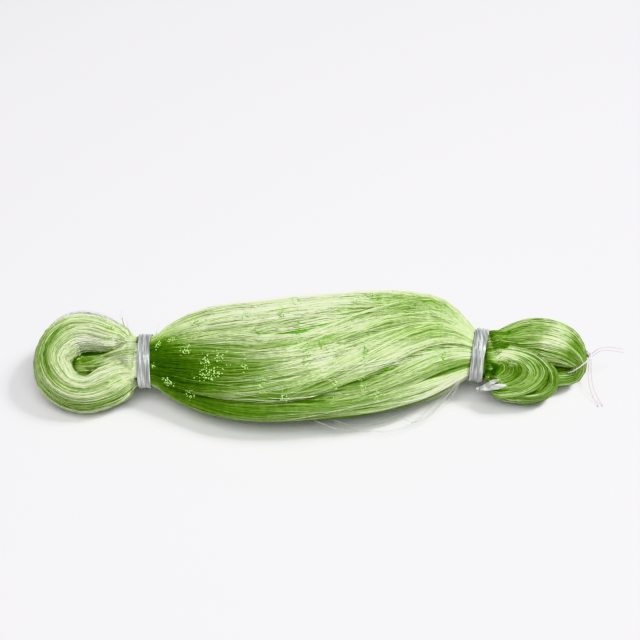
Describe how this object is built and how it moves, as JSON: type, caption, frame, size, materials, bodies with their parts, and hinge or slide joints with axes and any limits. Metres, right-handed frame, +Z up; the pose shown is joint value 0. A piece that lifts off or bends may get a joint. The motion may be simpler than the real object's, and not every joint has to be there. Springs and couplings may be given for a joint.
{
  "type": "fishing net",
  "caption": "Tied hank of pale green monofilament netting: a thick twisted bundle with a flat ribbon round each neck, a rolled bight at one end and two at the other, with a string at its tip.",
  "frame": {"origin": "the middle of the flat that the body of the hank rests on, on the surface", "axes": "+X along the hank from the single rolled bight towards the pair of bights with the string, +Y to the back of the hank, +Z up"},
  "size_m": [0.5089, 0.1274, 0.0864],
  "materials": {
    "net": "glossy translucent light green nylon monofilament, gathered strands with small knots",
    "ribbon": "clear whitish polypropylene tying ribbon with lengthwise folds",
    "string": "thin white twisted string"
  },
  "bodies": {
    "root": {"net_hank": "net", "left_tie": "ribbon", "right_tie": "ribbon", "right_tie_knot": "ribbon", "right_tie_tail": "ribbon", "string_loop_front": "string", "string_loop_back": "string", "string_knot": "string", "string_end_right_upper": "string", "string_end_right_lower": "string", "string_end_down_left": "string", "string_end_down_right": "string"}
  },
  "joints": []
}
